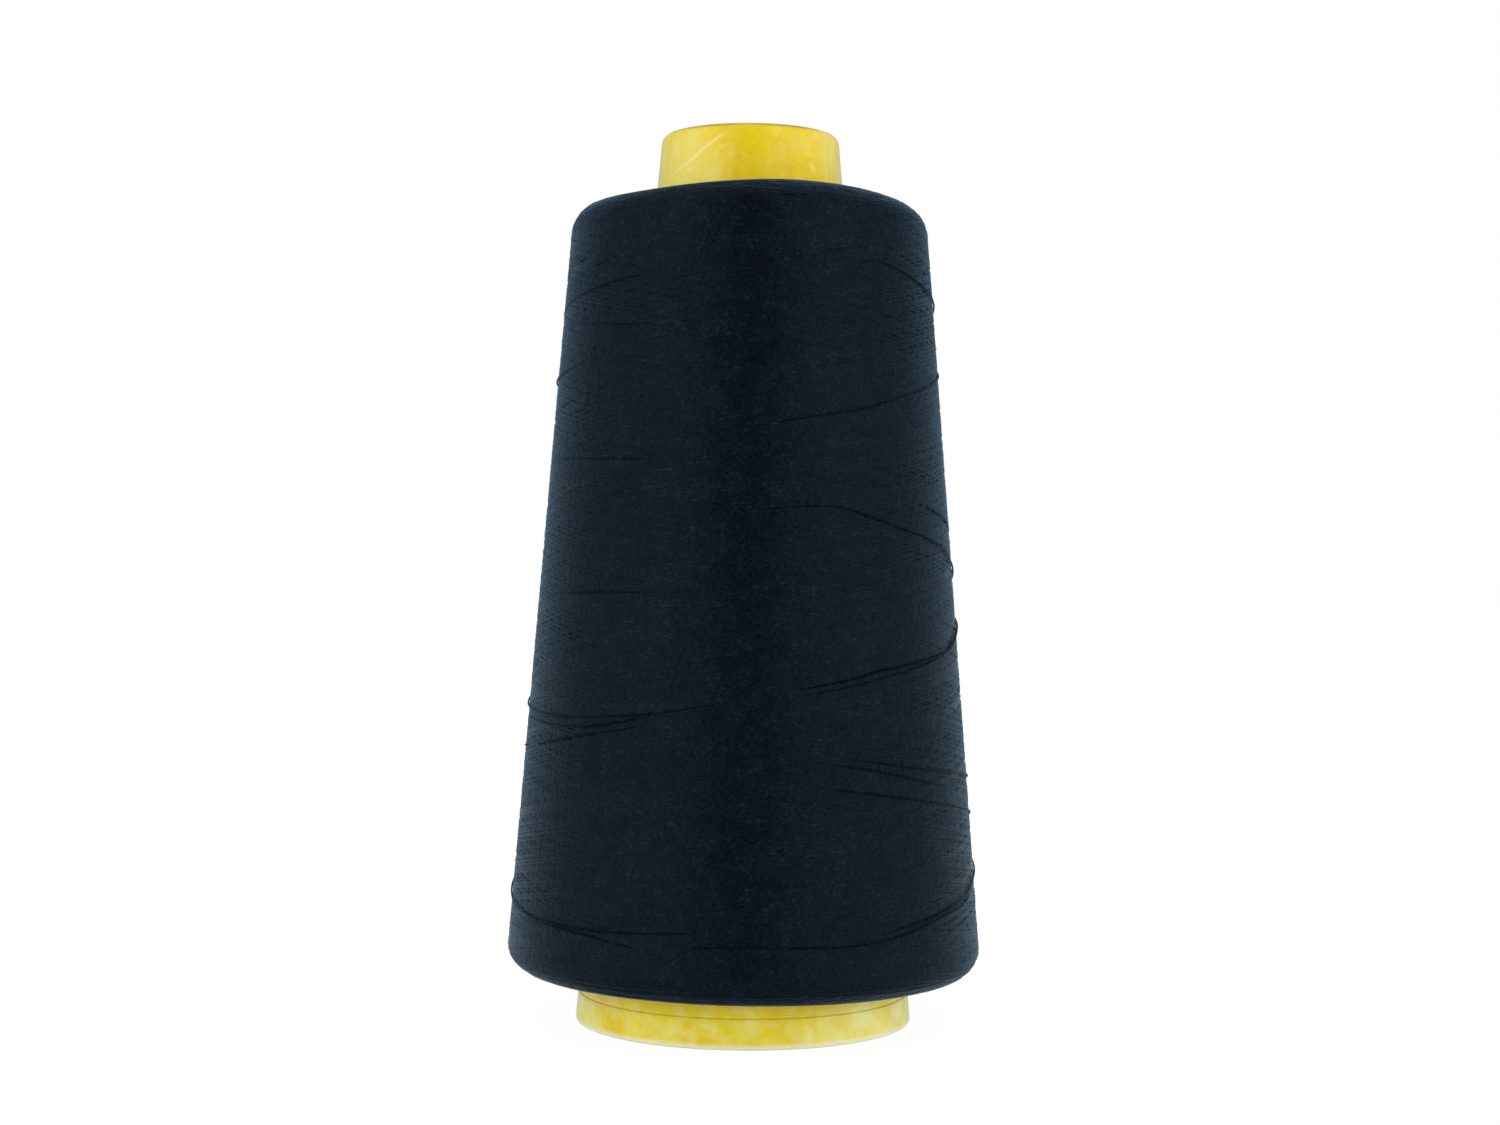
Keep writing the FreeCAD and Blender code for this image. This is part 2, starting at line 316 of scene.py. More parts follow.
# Moulded polypropylene: a waxy, slightly see-through yellow with flow clouds and pale rubs
def mouldedPolypropylene():
    look = plasticLook
    material, tree = newMaterial("mouldedPolypropylene")
    place = addNode(tree, "ShaderNodeTexCoord").outputs["Object"]
    apart = addNode(tree, "ShaderNodeSeparateXYZ", {}, {0: place})
    noise = addPatterns(tree, place, look["patterns"])
    band = {}
    for name, (first, second, less, more, way) in look["bands"].items():
        band[name] = addNode(
            tree, "ShaderNodeMapRange", {"interpolation_type": way},
            ranged(apart.outputs[2], (first * mm, second * mm, less, more))).outputs[0]

    # Flow clouds run up the tube, with a finer mottle over them
    blend = addNode(tree, "ShaderNodeMix", {},
                    {0: look["mottle"], 2: noise["cloud"], 3: noise["grain"]})
    tone = addNode(tree, "ShaderNodeValToRGB", {}, {0: blend.outputs[0]})
    setRamp(tone, zip(look["toneStops"], (look["deep"], look["mid"], look["pale"])))

    # The base ring is painted in brighter colours, as painted light from the floor below and
    # through its thin wall, and shows its flow more
    floorLitRingTone = addNode(tree, "ShaderNodeValToRGB", {}, {0: noise["ring"]})
    setRamp(floorLitRingTone, zip(look["ringStops"],
                          (look["ringDeep"], look["ringMid"], look["ringPale"])))
    body = addNode(tree, "ShaderNodeMix", {"data_type": "RGBA"},
                   {0: band["ring"], 6: tone.outputs[0], 7: floorLitRingTone.outputs[0]})

    # The skin pales softly in random clouds and with painted light, whiter on the base ring than on
    # the nose and whiter low on the ring, where floor light is painted in
    bloomAndLight = bloomAndLightShare(tree, place, noise, band)
    bloomAndLightColour = addNode(tree, "ShaderNodeMix", {"data_type": "RGBA"}, {
        0: band["ringBloomAndLight"], 6: linearColour(look["bloomAndLight"]), 7: linearColour(look["ringBloomAndLight"])})
    bloomedAndLit = addNode(tree, "ShaderNodeMix", {"data_type": "RGBA"},
                      {0: bloomAndLight, 6: body.outputs[2], 7: bloomAndLightColour.outputs[2]})

    # Pale rubs: small broken patches where the skin is scuffed, more of them at both rims
    rims = addNode(tree, "ShaderNodeMath", {"operation": "ADD"},
                   {0: band["footRub"], 1: band["noseRub"]})
    scuffs = addNode(tree, "ShaderNodeMath", {"operation": "ADD"},
                     {0: noise["rub"], 1: rims.outputs[0]})
    rubs = addNode(tree, "ShaderNodeMapRange", {}, ranged(scuffs.outputs[0], look["rubbing"]))
    pale = addNode(tree, "ShaderNodeMath", {"operation": "MAXIMUM"},
                   {0: rubs.outputs[0], 1: scratchShare(tree, place, apart)})
    scuffed = addNode(tree, "ShaderNodeMix", {"data_type": "RGBA"},
                      {0: pale.outputs[0], 6: bloomedAndLit.outputs[2], 7: linearColour(look["rub"])})

    # Painted light: the thin foot of the base ring is painted nearly white for the light that
    # passes through it
    lit = addNode(tree, "ShaderNodeMix", {"data_type": "RGBA"},
                  {0: band["footRim"], 6: scuffed.outputs[2], 7: linearColour(look["rim"])})
    # Painted shade: a thin broken dark line round the nose's top rim
    rimShading = rimShadeShare(tree, apart, noise, band)
    coloured = addNode(tree, "ShaderNodeMix", {"data_type": "RGBA"},
                       {0: rimShading, 6: lit.outputs[2], 7: linearColour(look["paintedRimShade"])})

    # Rubs are duller than the skin, and the scratch is cut into it
    dulled = addNode(tree, "ShaderNodeMapRange", {}, ranged(pale.outputs[0], look["dulling"]))
    skin = addNode(tree, "ShaderNodeBump", {},
                   {"Strength": 0.35, "Distance": 0.05 * mm, "Height": noise["grain"]})
    sunk = addNode(tree, "ShaderNodeBump", {"invert": True}, {
        "Strength": 0.5, "Distance": 0.08 * mm, "Height": pale.outputs[0],
        "Normal": skin.outputs[0]})
    shader = addNode(tree, "ShaderNodeBsdfPrincipled", {}, {
        "Base Color": coloured.outputs[2], "Roughness": dulled.outputs[0], "IOR": 1.49,
        "Specular IOR Level": 0.42, "Sheen Weight": 0.14, "Sheen Roughness": 0.3,
        "Sheen Tint": linearColour(look["sheen"]),
        "Subsurface Weight": 0.25, "Subsurface Radius": (1, 0.62, 0.12),
        "Subsurface Scale": 2.5 * mm, "Normal": sunk.outputs[0]})
    addNode(tree, "ShaderNodeOutputMaterial", {}, {"Surface": shader.outputs[0]})
    return material


coreTube = addPiece("coreTube", makeCore(), mouldedPolypropylene())
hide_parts("cone_core")
print("core turned:", len(coreTube.data.polygons), "faces")


# The wound package, measured over its outer thread
package = {"bottom": 9.4, "top": 157.4, "footRadius": 45.75, "headRadius": 33.85,
           "footRound": 5, "headRound": 7, "boreGap": 0.1, "bodyDepth": 0.36,
           "facets": 192, "roundFacets": 16,
           "headTilt": 0.33, "headWave": 0.5, "wavePhase": 0.86, "headLift": -0.2,
           "footTilt": -0.36, "footLift": 0.25, "endReach": 20}

# Its outline, from the bore at the foot, round and up, to the bore at the head
packageSlope = math.atan((package["footRadius"] - package["headRadius"])
                         / (package["top"] - package["bottom"]))
footSweep = math.pi / 2 + packageSlope
headSweep = math.pi / 2 - packageSlope
footTangent = package["footRound"] * math.tan(footSweep / 2)
headTangent = package["headRound"] * math.tan(headSweep / 2)
footFace = package["footRadius"] - footTangent - coreRadius(package["bottom"]) - package["boreGap"]
headFace = package["headRadius"] - headTangent - coreRadius(package["top"]) - package["boreGap"]
footArc = package["footRound"] * footSweep
headArc = package["headRound"] * headSweep
sideLength = ((package["top"] - package["bottom"]) / math.cos(packageSlope)
              - footTangent - headTangent)
sideStart = footFace + footArc
sideEnd = sideStart + sideLength
outlineEnd = sideEnd + headArc + headFace


# Radius, height and the angle of the outward direction at a distance along that outline
def outlineAt(run):
    if run < footFace:
        return (coreRadius(package["bottom"]) + package["boreGap"] + run, package["bottom"],
                -math.pi / 2)
    if run < sideStart:
        turn = -math.pi / 2 + (run - footFace) / package["footRound"]
        return (package["footRadius"] - footTangent + package["footRound"] * math.cos(turn),
                package["bottom"] + package["footRound"] * (1 + math.sin(turn)), turn)
    if run < sideEnd:
        up = footTangent + run - sideStart
        return (package["footRadius"] - up * math.sin(packageSlope),
                package["bottom"] + up * math.cos(packageSlope), packageSlope)
    if run < sideEnd + headArc:
        turn = packageSlope + (run - sideEnd) / package["headRound"]
        return (package["headRadius"] - headTangent + package["headRound"] * math.cos(turn),
                package["top"] + package["headRound"] * (math.sin(turn) - 1), turn)
    return (package["headRadius"] - headTangent - (run - sideEnd - headArc), package["top"],
            math.pi / 2)


# Distance along the outline of a height on the side
def sideRun(height):
    return sideStart - footTangent + (height - package["bottom"]) / math.cos(packageSlope)


# How far both ends run out of level, as in the photograph: higher on the right at the head
def levelShift(height, turn):
    reach = package["endReach"]
    head = max(0, (height - package["top"] + reach) / reach)
    foot = max(0, (package["bottom"] + reach - height) / reach)
    headShift = (package["headLift"] + package["headTilt"] * math.sin(turn)
                 + package["headWave"] * math.sin(3 * turn + package["wavePhase"]))
    footShift = package["footLift"] + package["footTilt"] * math.sin(turn)
    return headShift * head * head + footShift * foot * foot


# Point under the outline by depth, at an angle round the axis, in metres
def packagePoint(run, angle, depth):
    radius, height, outward = outlineAt(run)
    radius -= depth * math.cos(outward)
    height -= depth * math.sin(outward)
    turn = math.radians(angle)
    height += levelShift(height, turn)
    return (radius * math.sin(turn) * mm, -radius * math.cos(turn) * mm, height * mm)


# A mesh tube for each row of points, with a UV that runs along the thread in millimetres
def threadMesh(name, rows, thickness):
    curve = bpy.data.curves.new(name, "CURVE")
    curve.dimensions = "3D"
    curve.twist_mode = "Z_UP"
    curve.bevel_depth = thickness / 2 * mm
    curve.bevel_resolution = 0
    curve.use_fill_caps = True
    for row in rows:
        spline = curve.splines.new("POLY")
        spline.points.add(len(row) - 1)
        spline.points.foreach_set("co", [value for point in row for value in (*point, 1)])
    holder = bpy.data.objects.new(name, curve)
    mesh = bpy.data.meshes.new_from_object(holder)
    bpy.data.objects.remove(holder)
    length = sum((Vector(b) - Vector(a)).length for row in rows for a, b in zip(row, row[1:]))
    layer = mesh.uv_layers[0]
    values = [0.0] * (2 * len(layer.uv))
    layer.uv.foreach_get("vector", values)
    values[0::2] = [value * length / len(rows) / mm for value in values[0::2]]
    layer.uv.foreach_set("vector", values)
    mesh.name = name
    return mesh


# What the thread looks like. The real plies turn in about 0.8 mm, too fine to show, so
# plyPitch is longer. headUpward is how far up the head's shading turns, where 1 is all the way
polyesterLook = {
    "plyPitch": 1.3, "plyShare": 0.25, "patchShare": 0.5, "packedShare": 0.74,
    "patterns": {"tuft": (0.75, 2, 0.6, 1), "patch": (3.2, 4, 0.62, 1),
                 "fleck": (0.85, 1, 0.5, 2.2), "fuzz": (1.4, 4, 0.65, 1)},
    "toneStops": (0.4, 0.6), "flecking": (0.56, 0.74, 0, 0.62), "crowding": (0.38, 0.62, 0.15, 1),
    "fleckColour": "#1f2b36", "tint": "#bcd6ff", "sheenTint": "#8cbcf0", "headUpward": 0.97}


# Outward direction of the whole package at a place, smooth round its foot, side and head
def packageNormal(tree, place):
    apart = addNode(tree, "ShaderNodeSeparateXYZ", {}, {0: place})
    leaning = math.sin(packageSlope)
    footUp = (package["bottom"] + package["footRound"] * (1 + leaning)) * mm
    headUp = (package["top"] - package["headRound"] * (1 - leaning)) * mm
    footPart = addNode(tree, "ShaderNodeMapRange", {},
                       ranged(apart.outputs[2], (package["bottom"] * mm, footUp, -1, 0)))
    headPart = addNode(tree, "ShaderNodeMapRange", {}, ranged(
        apart.outputs[2], (headUp, package["top"] * mm, leaning, polyesterLook["headUpward"])))
    upward = addNode(tree, "ShaderNodeMath", {"operation": "ADD"},
                     {0: footPart.outputs[0], 1: headPart.outputs[0]})
    squared = addNode(tree, "ShaderNodeMath", {"operation": "MULTIPLY"},
                      {0: upward.outputs[0], 1: upward.outputs[0]})
    rest = addNode(tree, "ShaderNodeMath", {"operation": "SUBTRACT"},
                   {0: 1, 1: squared.outputs[0]})
    level = addNode(tree, "ShaderNodeMath", {"operation": "SQRT"}, {0: rest.outputs[0]})
    spread = addNode(tree, "ShaderNodeCombineXYZ", {}, {0: apart.outputs[0], 1: apart.outputs[1]})
    outward = addNode(tree, "ShaderNodeVectorMath", {"operation": "NORMALIZE"},
                      {0: spread.outputs[0]})
    sideways = addNode(tree, "ShaderNodeVectorMath", {"operation": "SCALE"},
                       {0: outward.outputs[0], "Scale": level.outputs[0]})
    upright = addNode(tree, "ShaderNodeCombineXYZ", {}, {2: upward.outputs[0]})
    smooth = addNode(tree, "ShaderNodeVectorMath", {"operation": "ADD"},
                     {0: sideways.outputs[0], 1: upright.outputs[0]})
    return smooth.outputs[0]


# Spun polyester: matt, near black with a blue cast, paler where its short hairs catch the light.
# Plies show only where the mesh has a run along the thread
def spunPolyester(name, dark, light, sheen, gloss=0.215, hasRun=True):
    look = polyesterLook
    material, tree = newMaterial(name)
    place = addNode(tree, "ShaderNodeTexCoord").outputs["Object"]
    noise = addPatterns(tree, place, look["patterns"])

    # Tone breaks up into tufts and patches, with the plies over them
    mixed = addNode(tree, "ShaderNodeMix", {},
                    {0: look["patchShare"], 2: noise["tuft"], 3: noise["patch"]})
    height = noise["tuft"]
    if hasRun:
        run = addNode(tree, "ShaderNodeUVMap", {"uv_map": "UVMap"})
        split = addNode(tree, "ShaderNodeSeparateXYZ", {}, {0: run.outputs[0]})
        turned = addNode(tree, "ShaderNodeMath", {"operation": "MULTIPLY_ADD"},
                         {0: split.outputs[0], 1: 1 / look["plyPitch"], 2: split.outputs[1]})
        wave = addNode(tree, "ShaderNodeMath", {"operation": "PINGPONG"},
                       {0: turned.outputs[0], 1: 0.5})
        plies = addNode(tree, "ShaderNodeMapRange", {}, ranged(wave.outputs[0], (0, 0.5, 0, 1)))
        height = plies.outputs[0]
        mixed = addNode(tree, "ShaderNodeMix", {},
                        {0: look["plyShare"], 2: mixed.outputs[0], 3: height})
    tone = addNode(tree, "ShaderNodeValToRGB", {}, {0: mixed.outputs[0]})
    setRamp(tone, zip(look["toneStops"], (dark, light)))

    # Paler flecks lie along the thread and crowd in patches
    flecks = addNode(tree, "ShaderNodeMapRange", {}, ranged(noise["fleck"], look["flecking"]))
    crowd = addNode(tree, "ShaderNodeMapRange", {}, ranged(noise["patch"], look["crowding"]))
    crowded = addNode(tree, "ShaderNodeMath", {"operation": "MULTIPLY"},
                      {0: flecks.outputs[0], 1: crowd.outputs[0]})
    flecked = addNode(tree, "ShaderNodeMix", {"data_type": "RGBA"}, {
        0: crowded.outputs[0], 6: tone.outputs[0], 7: linearColour(look["fleckColour"])})
    bump = addNode(tree, "ShaderNodeBump", {},
                   {"Strength": 0.5, "Distance": 0.05 * mm, "Height": height})

    # Packed hairs blur each thread's own roundness into that of the whole package
    ruffled = addNode(tree, "ShaderNodeBump", {}, {
        "Strength": 0.6, "Distance": 0.58 * mm, "Height": noise["fuzz"],
        "Normal": packageNormal(tree, place)})
    mean = addNode(tree, "ShaderNodeMix", {"data_type": "VECTOR"},
                   {0: look["packedShare"], 4: bump.outputs[0], 5: ruffled.outputs[0]})
    normal = addNode(tree, "ShaderNodeVectorMath", {"operation": "NORMALIZE"}, {0: mean.outputs[1]})
    shader = addNode(tree, "ShaderNodeBsdfPrincipled", {}, {
        "Base Color": flecked.outputs[2], "Roughness": 0.3, "IOR": 1.5,
        "Specular IOR Level": gloss, "Specular Tint": linearColour(look["tint"]),
        "Sheen Weight": sheen, "Sheen Roughness": 0.27,
        "Sheen Tint": linearColour(look["sheenTint"]), "Normal": normal.outputs[0]})
    addNode(tree, "ShaderNodeOutputMaterial", {}, {"Surface": shader.outputs[0]})
    return material


# Threads on the side have the soft glow of fine hairs at the rims. Those on the ends are a copy
# with less of it, as painted shade for the dimmer light on the package's ends
woundPolyester = spunPolyester("spunPolyester", "#000102", "#070e13", 0.28)
shadedEndPolyester = spunPolyester("spunPolyesterEnds", "#000102", "#080f15", 0.2)
innerPolyester = spunPolyester("spunPolyesterInner", "#000102", "#070e13", 0.28, hasRun=False)


# The body of thread under the wound layer
def makeThreadBody():
    deep = package["bodyDepth"]
    mesh = bmesh.new()
    turnSection(mesh, [
        (coreRadius(package["bottom"]) + package["boreGap"], package["bottom"] + deep, 0),
        (package["footRadius"] - deep, package["bottom"] + deep, package["footRound"] - deep),
        (package["headRadius"] - deep, package["top"] - deep, package["headRound"] - deep),
        (coreRadius(package["top"]) + package["boreGap"], package["top"] - deep, 0),
    ], package["facets"], package["roundFacets"])
    for vert in mesh.verts:
        vert.co.z += levelShift(vert.co.z / mm, math.atan2(vert.co.x, -vert.co.y)) * mm
    return finishMesh(mesh, "threadBody")


threadBody = addPiece("threadBody", makeThreadBody(), innerPolyester)
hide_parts("thread_package")
print("thread body turned")


# The wound layer: one thread in four pieces that climbs and falls round the package
wound = {"thick": 0.35, "runs": 320, "pieces": 4, "turns": 3.5, "turnsSpread": 0.22,
         "share": 0.125, "stepsPerTurn": 66, "deepest": 0.36, "outermost": 0.175,
         "footReach": (-4.5, 4.5), "headReach": (-3.5, 9.5), "waver": 0.04, "waverPace": 9.7}


# Climb so far, in turns at full pace. A run eases into it over the first share of a turn, while
# the thread swings round at the end of the package
def climbed(turns):
    if turns < wound["share"]:
        return turns * turns / (2 * wound["share"])
    return turns - wound["share"] / 2


# A row of points for each piece. The thread works outward all the time, so that each run
# crosses over those before it
def windPackage():
    steps = wound["stepsPerTurn"]
    rows = []
    angle = 0
    foot = sideStart + chance.uniform(*wound["footReach"])
    head = 0
    perPiece = wound["runs"] // wound["pieces"]
    for run in range(wound["runs"]):
        if run % perPiece == 0:
            rows.append([])
        goingUp = run % 2 == 0
        if goingUp:
            head = sideEnd + chance.uniform(*wound["headReach"])
        else:
            foot = sideStart + chance.uniform(*wound["footReach"])
        turns = wound["turns"] + chance.uniform(-1, 1) * wound["turnsSpread"]
        count = round(turns * steps)
        turns = count / steps
        rise = (head - foot) / (turns - wound["share"])
        phase = chance.uniform(0, fullTurn)
        for step in range(count):
            gone = step / steps
            up = climbed(gone) if gone < turns / 2 else (
                turns - wound["share"] - climbed(turns - gone))
            along = foot + rise * up if goingUp else head - rise * up
            progress = (run + gone / turns) / wound["runs"]
            depth = wound["deepest"] + (wound["outermost"] - wound["deepest"]) * progress
            waver = math.sin(phase + gone * wound["waverPace"])
            depth += wound["waver"] * waver * (1 - progress)
            rows[-1].append(packagePoint(along, angle + 360 * gone, depth))
        angle = (angle + 360 * turns) % 360
    return rows


for number, row in enumerate(windPackage(), 1):
    name = f"woundThread{number}"
    piece = addPiece(name, threadMesh(name, [row], wound["thick"]), woundPolyester)
    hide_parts("outer_winding")
    print(f"{name}: {len(piece.data.polygons)} faces")


# Turns that show on the ends, where layer on layer of thread swings round
ends = {"footTurns": 112, "headTurns": 122, "stepsPerTurn": 60, "pastSide": 6, "fromBore": 0.3,
        "margin": 0.2, "sway": 1.76, "waves": 4, "wavePace": (0.9, 1.9), "waveSize": (0.4, 1),
        "dips": 3, "dipPace": (2.1, 4.3), "deepest": 0.36, "outermost": 0.175}


# A row of points that circles between two places on the outline, and sways and dips on its way
def windEnd(start, stop, turns):
    row = []
    steps = ends["stepsPerTurn"]
    waves = [(chance.uniform(*ends["wavePace"]), chance.uniform(0, fullTurn),
              chance.uniform(*ends["waveSize"])) for _ in range(ends["waves"])]
    dips = [(chance.uniform(*ends["dipPace"]), chance.uniform(0, fullTurn))
            for _ in range(ends["dips"])]
    for step in range(turns * steps):
        turn = step / steps
        along = start + (stop - start) * turn / turns
        sway = sum(size * math.sin(fullTurn * turn * pace + phase)
                   for pace, phase, size in waves)
        along += sway / len(waves) * ends["sway"]
        along = min(max(along, ends["margin"]), outlineEnd - ends["margin"])
        dip = sum(math.sin(fullTurn * turn * pace + phase) for pace, phase in dips) / len(dips)
        depth = ends["outermost"] + (ends["deepest"] - ends["outermost"]) * (0.5 + 0.5 * dip)
        row.append(packagePoint(along, 360 * turn, depth))
    return row


for name, start, stop in (
        ("footTurns", ends["fromBore"], sideStart + ends["pastSide"]),
        ("headTurns", outlineEnd - ends["fromBore"], sideEnd - ends["pastSide"])):
    mesh = threadMesh(name, [windEnd(start, stop, ends[name])], wound["thick"])
    addPiece(name, mesh, shadedEndPolyester)
    print(f"{name}: {len(mesh.polygons)} faces")


# Threads that lie loose over the wound layer, from the photograph. Each is a row of places
# (degrees round, height, lift of its middle over the outline), without a lift at both ends,
# where it sinks into the others. A lift above most counts as most
loose = {"thick": 0.36, "longThick": 0.5, "step": 1.2, "most": 0.15,
         "sinking": -0.16, "sunk": -0.45}
looseThreads = {
    "shoulderRight": [(44, 142.9), (51, 142.2, 0.05), (59, 141.1, 0.15), (73, 139.2, 0.2),
                      (84, 137.4, 0.15), (98, 135.4)],
    "shoulderLeft": [(-84, 135.2), (-69, 136.8, -0.05), (-48, 138.8, -0.08), (-38, 139.6)],
    "upperLeft": [(-74, 132.6), (-63, 132.2, -0.06), (-46, 131.3, -0.08), (-32, 130.8)],
    "bumpLeft": [(-112, 120.2), (-96, 121.4, 0.2), (-80, 122.6, 0.25), (-62, 124.2)],
    "upperRight": [(92, 125.4), (73, 122.2, 0.25), (59, 119.7, 0.12), (49, 118.4, 0.05),
                   (35, 115.9, -0.02), (22, 114.5, -0.1), (12, 113.4)],
    "middleLeft": [(-78, 107.4), (-60, 106.9, 0.02), (-45, 106.6, -0.02), (-34, 106.4)],
    "middleRight": [(8, 97.6), (18, 98.1, -0.08), (26, 97.9, 0.0), (38.6, 95.7, 0.1),
                    (46, 94.4, 0.15), (58.5, 92.8, 0.18), (67, 91.4, 0.2), (75, 89.2, 0.22),
                    (88, 86.2, 0.2), (104, 82.4)],
    "shortRight": [(60, 98.5), (67.3, 97.4, 0.1), (73.3, 96.3, 0.15), (84, 94.5)],
    "waistLeft": [(-62, 81.8), (-50, 82.1, -0.05), (-38, 82.3, -0.08), (-27, 82.45)],
    "longSlack": [(104, 79.2), (90, 77.0, 0.3), (82, 75.6, 0.4), (76, 74.0, 0.35),
                  (70, 72.4, 0.3), (63.2, 71.2, 0.2), (54.4, 70.4, 0.12), (43.3, 69.3, 0.08),
                  (35.7, 68.6, 0.03), (28.6, 67.4, -0.02), (20, 66.3)],
    "longSlackLeft": [(-12, 62.2), (-20, 61.3, -0.02), (-31.9, 60.4, 0.05), (-53.9, 59.4, 0.1),
                      (-76.9, 60.1, 0.3), (-92, 61.6, 0.25), (-110, 64.4)],
    "longSlackTwin": [(62, 70.6), (50.5, 69.0, 0.2), (41.8, 68.0, 0.2), (36.3, 67.2, 0.18),
                      (28, 66.1, 0.12), (18, 64.9)],
    "lowerLeft": [(-78, 58.4), (-63.7, 57.8, 0.15), (-50.8, 57.7, 0.15), (-42.3, 58.1, 0.12),
                  (-35.1, 58.9, 0.1), (-26, 60.2)],
    "lowerLeftRising": [(-92, 51.9), (-73.7, 53.6, 0.2), (-64.6, 54.2, 0.15), (-51.3, 55.6, 0.12),
                        (-43.5, 56.6, 0.1), (-34.9, 57.6, -0.2), (-30, 58.2)],
    "lowerRight": [(31, 52.6), (40.6, 51.6, 0.12), (52.8, 50.3, 0.15), (78.3, 48.2, 0.2),
                   (96, 46.0)],
    "lowerRightShort": [(24, 52.0), (31.2, 51.2, 0.1), (40.4, 49.9, 0.12), (47.5, 48.8, 0.1),
                        (55, 47.7)],
    "lowerRightTwin": [(24, 47.6), (31, 47.0, 0.1), (40.1, 45.9, 0.15), (51.1, 44.7, 0.18),
                       (75.7, 41.8, 0.22), (94, 39.0)],
    "footSlack": [(-112, 29.4), (-98, 27.4, 0.25), (-85, 25.2, 0.3), (-76.6, 23.7, 0.28),
                  (-67.3, 22.7, 0.3), (-57.2, 22.1, 0.25), (-48.1, 22.0, 0.2),
                  (-41.1, 21.9, 0.15), (-32.7, 22.0, 0.06), (-23, 22.3, -0.02), (-14, 22.7)],
    "footSlackRight": [(104, 31.9), (90, 30.4, 0.25), (75.5, 28.1, 0.3), (70.2, 26.7, 0.25),
                       (61.1, 25.2, 0.2), (52.6, 24.1, 0.18), (44.8, 23.2, 0.1), (36, 22.2)],
    "footUnder": [(72, 25.6), (63.4, 24.4, 0.15), (52.5, 23.4, 0.18), (44.7, 22.1, 0.18),
                  (38.1, 21.2, 0.15), (29, 20.5, 0.12), (22.1, 20.3, 0.12), (8.3, 20.5, 0.1),
                  (-0.7, 20.5, 0.08), (-10, 20.3)],
    "footUnderLeft": [(-62, 22.0), (-48, 21.3, 0.18), (-38.5, 20.9, 0.15), (-34.9, 20.5, 0.1),
                      (-26, 19.6)],
    # Guessed ones on the back, in the same manner
    "backHigh": [(128, 126.2), (142, 124.5, 0.15), (160, 121.9, 0.18), (178, 119.6, 0.1),
                 (190, 118.4)],
    "backMiddle": [(236, 92.2), (222, 88.4, 0.18), (200, 84.6, 0.15), (178, 81.2, 0.12),
                   (160, 78.9)],
    "backLow": [(134, 47.6), (152, 44.4, 0.15), (176, 41.2, 0.18), (204, 38.6, 0.12),
                (222, 37.4)],
}


# Smooth row through those places, curved between them, that sinks slowly at both its ends
def looseRow(places):
    row = []
    first, second, *_, third, last = places
    under = [tuple(2 * a - b for a, b in zip(end, inner)) + (loose["sunk"],)
             for end, inner in ((first, second), (last, third))]
    places = [under[0], first + (loose["sinking"],), *places[1:-1],
              last + (loose["sinking"],), under[1]]
    padded = [places[0]] + places + [places[-1]]
    for before, start, stop, after in zip(padded, padded[1:], padded[2:], padded[3:]):
        count = max(2, round(abs(stop[0] - start[0]) / loose["step"]))
        for step in range(count):
            t = step / count
            angle, height, lift = (
                0.5 * (2 * b + (c - a) * t + (2 * a - 5 * b + 4 * c - d) * t * t
                       + (3 * b - a - 3 * c + d) * t ** 3)
                for a, b, c, d in zip(before, start, stop, after))
            row.append(packagePoint(sideRun(height), angle, -min(lift, loose["most"])))
    return row


# Slack threads lie apart from the wound ones. They are darker copies of the thread with hardly any
# gloss, as painted shade for the dark line each one shows
shadedSlackPolyester = spunPolyester("spunPolyesterSlack", "#010305", "#070d13", 0.2, gloss=0.08)
shadedLongPolyester = spunPolyester("spunPolyesterLongSlack", "#010304", "#060a0f", 0.12, gloss=0.05)
looseRows = [looseRow(places) for name, places in looseThreads.items() if name != "longSlack"]
looseMesh = threadMesh("looseThreads", looseRows, loose["thick"])
addPiece("looseThreads", looseMesh, shadedSlackPolyester)
longMesh = threadMesh("longSlackThread", [looseRow(looseThreads["longSlack"])], loose["longThick"])
addPiece("longSlackThread", longMesh, shadedLongPolyester)
print("loose threads:", len(looseRows) + 1)


# Short hairs that stand off the spun thread, and pale lint that sticks to it
hairs = {"count": 2600, "thick": 0.03, "reach": (0.35, 1.3), "stand": 0.35, "curl": 1.2,
         "steps": 3, "root": -0.1, "margin": 0.5}
lint = {"count": 90, "thick": 0.08, "reach": (0.2, 0.7), "stand": 0.05, "margin": 2,
        "placedReach": 0.7, "placedStand": 0.08, "dashSteps": 8, "dashDepth": -0.01,
        "dashes": ((-45, 107.0, -42, 107.1), (-37, 107.4, -33, 107.5), (-26, 104.4, -20.5, 104.3),
                   (-43.6, 79.9, -40.5, 80.0), (-36, 80.0, -33, 80.0), (-22, 80.1, -18.6, 80.2)),
        "placed": ((-13, 121.1), (-14.5, 118.1), (41.8, 143.9), (-34.7, 19.2), (26.4, 14.6),
                   (25.6, 58.2))}


# A short curved row from a place on the package, that stands off it more and more
def hairRow(along, angle, reach, stand, deep):
    heading = chance.uniform(0, fullTurn)
    curl = chance.uniform(-hairs["curl"], hairs["curl"])
    radius = outlineAt(along)[0]
    row = []
    for step in range(hairs["steps"] + 1):
        t = step / hairs["steps"]
        go = reach * t
        way = heading + curl * t
        lift = deep + stand * t * (2 - t)
        row.append(packagePoint(min(max(along + go * math.sin(way), 0), outlineEnd),
                                angle + math.degrees(go * math.cos(way) / radius), -lift))
    return row


# A short straight pale dash between two places on the side
def dashRow(start, low, stop, high):
    steps = lint["dashSteps"]
    return [packagePoint(sideRun(low + (high - low) * step / steps),
                         start + (stop - start) * step / steps, lint["dashDepth"])
            for step in range(steps + 1)]


